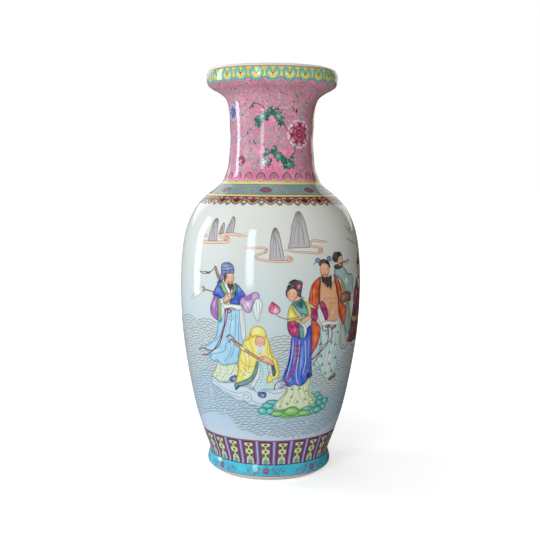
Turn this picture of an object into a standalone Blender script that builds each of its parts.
"""Tall baluster vase of porcelain with a dish mouth and a flared foot ring.

A vase of this size is thrown in sections. The potter trims their edges to matching bevels, sets them on
each other and lutes them with rings of slip. Each section and each ring of slip is one object here.
Metres, +Z up, origin in the middle of the foot's resting face, turned about the Z axis.
"""
import math

import bpy
import numpy as np

# Driving dimensions
HEIGHT = 0.610
MOUTH_RADIUS = 0.0993
NECK_RADIUS = 0.0629
BELLY_RADIUS = 0.1384
WAIST_RADIUS = 0.0922
FOOT_RADIUS = 0.0955
WALL = 0.0056

# Heights of the main levels
FOOT_BULGE_Z = 0.013
WAIST_Z = 0.028
BELLY_Z = 0.278
NECK_Z = 0.503
MOUTH_Z = 0.597

# Foot ring: the flat rim that the vase stands on, and the seat of the floor disc
RIM_OUTER_RADIUS = 0.0835
RIM_INNER_RADIUS = 0.0765
RECESS_DEPTH = 0.0110
FLOOR_SEAT_RADIUS = 0.0830
FLOOR_THICKNESS = 0.0060

# Luted seams: thickness of the slip, gap kept between touching pieces, rise of the bevel through the wall
SLIP = 0.0012
GAP = 0.0003
BEVEL_RISE = 0.0040

# Heights of the seams on the outer surface
SEAM_FOOT_Z = 0.0285
SEAM_BELLY_Z = 0.2540
SEAM_NECK_Z = 0.4430
SEAM_MOUTH_Z = 0.5680

# Fineness of the turned surfaces
SEGMENTS = 48
CURVE_STEPS = 12
MAX_TURN = math.radians(11.0)
MAX_SPAN = 0.034
SHARP_ANGLE = math.radians(35.0)

# Stations of the outer surface, from the resting rim up to the top of the lip: (radius, height)
OUTER_STATIONS = [
    (RIM_OUTER_RADIUS, 0.0),
    (FOOT_RADIUS - 0.0058, 0.0040),
    (FOOT_RADIUS - 0.0012, 0.0082),
    (FOOT_RADIUS, FOOT_BULGE_Z),
    (FOOT_RADIUS - 0.0013, 0.0200),
    (WAIST_RADIUS, WAIST_Z),
    (WAIST_RADIUS + 0.0018, 0.0360),
    (WAIST_RADIUS + 0.0105, 0.0600),
    (WAIST_RADIUS + 0.0229, 0.1000),
    (BELLY_RADIUS - 0.0112, 0.1600),
    (BELLY_RADIUS - 0.0028, 0.2200),
    (BELLY_RADIUS, BELLY_Z),
    (BELLY_RADIUS - 0.0018, 0.3300),
    (BELLY_RADIUS - 0.0084, 0.3700),
    (BELLY_RADIUS - 0.0212, 0.4000),
    (BELLY_RADIUS - 0.0370, 0.4190),
    (NECK_RADIUS + 0.0242, 0.4300),
    (NECK_RADIUS + 0.0134, 0.4400),
    (NECK_RADIUS + 0.0071, 0.4530),
    (NECK_RADIUS + 0.0027, 0.4700),
    (NECK_RADIUS, NECK_Z),
    (NECK_RADIUS + 0.0006, 0.5300),
    (NECK_RADIUS + 0.0026, 0.5520),
    (NECK_RADIUS + 0.0074, 0.5670),
    (NECK_RADIUS + 0.0180, 0.5762),
    (MOUTH_RADIUS - 0.0098, 0.5806),
    (MOUTH_RADIUS - 0.0030, 0.5853),
    (MOUTH_RADIUS - 0.0006, 0.5905),
    (MOUTH_RADIUS, MOUTH_Z),
    (MOUTH_RADIUS - 0.0007, 0.6035),
    (MOUTH_RADIUS - 0.0028, HEIGHT - 0.0018),
    (MOUTH_RADIUS - 0.0056, HEIGHT),
]


def curve_point(p0, p1, p2, p3, t):
    """A point between p1 and p2 on the Catmull-Rom curve through four stations."""
    a = 2.0 * p1
    b = p2 - p0
    c = 2.0 * p0 - 5.0 * p1 + 4.0 * p2 - p3
    d = 3.0 * p1 - p0 - 3.0 * p2 + p3
    return 0.5 * (a + b * t + c * t * t + d * t * t * t)


def smooth_curve(stations):
    """Fine points along the smooth curve through the stations."""
    knots = [np.array(station) for station in stations]
    knots = [2.0 * knots[0] - knots[1]] + knots + [2.0 * knots[-1] - knots[-2]]
    points = []
    for i in range(1, len(knots) - 2):
        for step in range(CURVE_STEPS):
            points.append(curve_point(knots[i - 1], knots[i], knots[i + 1], knots[i + 2], step / CURVE_STEPS))
    points.append(knots[-2])
    return np.array(points)


def inward_offset(points, distance):
    """The curve moved into the wall, along its own normals."""
    tangents = np.gradient(points, axis=0)
    tangents /= np.linalg.norm(tangents, axis=1)[:, None]
    normals = np.stack([tangents[:, 1], -tangents[:, 0]], axis=1)
    return points - normals * distance


def arc_lengths(points):
    steps = np.linalg.norm(np.diff(points, axis=0), axis=1)
    return np.concatenate([[0.0], np.cumsum(steps)])


OUTER = smooth_curve(OUTER_STATIONS)
INNER = inward_offset(OUTER, WALL)
LENGTHS = arc_lengths(OUTER)


def length_at(height):
    """Arc length, from the foot, at which the outer surface reaches a height."""
    return float(np.interp(height, OUTER[:, 1], LENGTHS))


def point_at(curve, length):
    return np.array([np.interp(length, LENGTHS, curve[:, 0]), np.interp(length, LENGTHS, curve[:, 1])])


def stretch(curve, start, end):
    """The curve from one arc length to another, with points only as close as its bends need."""
    inside = (LENGTHS > start + GAP) & (LENGTHS < end - GAP)
    fine = [point_at(curve, start)] + list(curve[inside]) + [point_at(curve, end)]
    kept = [fine[0]]
    turn = 0.0
    for before, here, after in zip(fine, fine[1:], fine[2:]):
        first = here - before
        second = after - here
        turn += abs(math.atan2(first[0] * second[1] - first[1] * second[0], float(first @ second)))
        if turn > MAX_TURN or np.linalg.norm(after - kept[-1]) > MAX_SPAN:
            kept.append(here)
            turn = 0.0
    kept.append(fine[-1])
    return kept


def wall_between(low, high):
    """Closed outline of the wall between two arc lengths, bevelled at both ends."""
    outer = stretch(OUTER, low, high)
    inner = stretch(INNER, low + BEVEL_RISE, high + BEVEL_RISE)
    return outer[::-1] + inner


def section(low_seam_z, high_seam_z):
    """A thrown section: it stops short of the slip at both of its seams."""
    clear = SLIP / 2 + GAP
    return wall_between(length_at(low_seam_z) + clear, length_at(high_seam_z) - clear)


def slip_ring(seam_z):
    """The ring of slip that fills a bevelled seam through the wall."""
    middle = length_at(seam_z)
    return wall_between(middle - SLIP / 2, middle + SLIP / 2)


def mouth_dish_outline():
    """The dish mouth, closed over the top by its rounded lip."""
    start = length_at(SEAM_MOUTH_Z) + SLIP / 2 + GAP
    end = LENGTHS[-1]
    outer = stretch(OUTER, start, end)
    lip_inner = outer[-1] - np.array([0.0026, 0.0012])
    inner = stretch(INNER, start + BEVEL_RISE, length_at(MOUTH_Z + 0.0050))
    return outer[::-1] + inner + [lip_inner]


def foot_ring_outline():
    """The foot ring: outer flare, flat resting rim, recess wall and the seat of the floor disc."""
    top = length_at(SEAM_FOOT_Z) - SLIP / 2 - GAP
    outer = stretch(OUTER, 0.0, top)
    seat_top = RECESS_DEPTH + FLOOR_THICKNESS + 2 * GAP
    inside = [
        (RIM_INNER_RADIUS, 0.0),
        (RIM_INNER_RADIUS, RECESS_DEPTH),
        (FLOOR_SEAT_RADIUS, RECESS_DEPTH),
        (FLOOR_SEAT_RADIUS, seat_top),
        tuple(point_at(INNER, top + BEVEL_RISE)),
    ]
    return outer[::-1] + inside


def floor_disc_outline():
    """Half section of the flat disc that closes the body: an open outline from axis to axis."""
    radius = FLOOR_SEAT_RADIUS - SLIP - 2 * GAP
    bottom = RECESS_DEPTH + GAP
    top = bottom + FLOOR_THICKNESS
    return [(0.0, top), (radius, top), (radius, bottom), (0.0, bottom)]


def floor_slip_outline():
    """The upright ring of slip between the floor disc and its seat."""
    outer = FLOOR_SEAT_RADIUS - GAP
    inner = outer - SLIP
    bottom = RECESS_DEPTH + GAP
    top = bottom + FLOOR_THICKNESS
    return [(outer, top), (outer, bottom), (inner, bottom), (inner, top)]


def principled_material(name, color, roughness):
    material = bpy.data.materials.new(name)
    material.use_nodes = True
    shader = material.node_tree.nodes["Principled BSDF"]
    shader.inputs["Base Color"].default_value = (*color, 1.0)
    shader.inputs["Roughness"].default_value = roughness
    shader.inputs["Metallic"].default_value = 0.0
    material.diffuse_color = (*color, 1.0)
    return material


def outline_mesh(name, outline, closed):
    """A mesh of edges only, standing in the XZ plane at +X."""
    vertices = [(float(radius), 0.0, float(height)) for radius, height in outline]
    edges = [(i, i + 1) for i in range(len(vertices) - 1)]
    if closed:
        edges.append((len(vertices) - 1, 0))
    mesh = bpy.data.meshes.new(name)
    mesh.from_pydata(vertices, edges, [])
    return mesh


def turned_piece(name, outline, color, roughness, collection, closed=True):
    """Turns an outline about Z into one solid piece."""
    piece = bpy.data.objects.new(name, outline_mesh(name + "_outline", outline, closed))
    collection.objects.link(piece)
    screw = piece.modifiers.new("turned", "SCREW")
    screw.axis = "Z"
    screw.steps = SEGMENTS
    screw.render_steps = SEGMENTS
    screw.use_merge_vertices = True
    screw.merge_threshold = 0.0001
    depsgraph = bpy.context.evaluated_depsgraph_get()
    solid = bpy.data.meshes.new_from_object(piece.evaluated_get(depsgraph))
    solid.name = name
    solid.shade_smooth()
    solid.set_sharp_from_angle(angle=SHARP_ANGLE)
    solid.materials.append(principled_material(name, color, roughness))
    piece.modifiers.clear()
    piece.data = solid
    return piece


def clear_scene():
    for leftover in list(bpy.data.objects):
        bpy.data.objects.remove(leftover, do_unlink=True)


def build_vase():
    vase = bpy.data.collections.new("porcelain_vase")
    bpy.context.scene.collection.children.link(vase)

    mouth_yellow = (0.80, 0.77, 0.30)
    neck_pink = (0.66, 0.35, 0.47)
    upper_white = (0.60, 0.61, 0.58)
    lower_blue = (0.38, 0.50, 0.58)
    foot_turquoise = (0.12, 0.45, 0.58)
    bare_porcelain = (0.72, 0.70, 0.66)
    glazed = 0.12
    unglazed = 0.65

    turned_piece("mouth_dish", mouth_dish_outline(), mouth_yellow, glazed, vase)
    turned_piece("neck", section(SEAM_NECK_Z, SEAM_MOUTH_Z), neck_pink, glazed, vase)
    turned_piece("upper_body", section(SEAM_BELLY_Z, SEAM_NECK_Z), upper_white, glazed, vase)
    turned_piece("lower_body", section(SEAM_FOOT_Z, SEAM_BELLY_Z), lower_blue, glazed, vase)
    turned_piece("foot_ring", foot_ring_outline(), foot_turquoise, glazed, vase)
    turned_piece("floor_disc", floor_disc_outline(), upper_white, glazed, vase, closed=False)
    turned_piece("slip_mouth", slip_ring(SEAM_MOUTH_Z), bare_porcelain, unglazed, vase)
    turned_piece("slip_neck", slip_ring(SEAM_NECK_Z), bare_porcelain, unglazed, vase)
    turned_piece("slip_belly", slip_ring(SEAM_BELLY_Z), bare_porcelain, unglazed, vase)
    turned_piece("slip_foot", slip_ring(SEAM_FOOT_Z), bare_porcelain, unglazed, vase)
    turned_piece("slip_floor", floor_slip_outline(), bare_porcelain, unglazed, vase)


clear_scene()
build_vase()
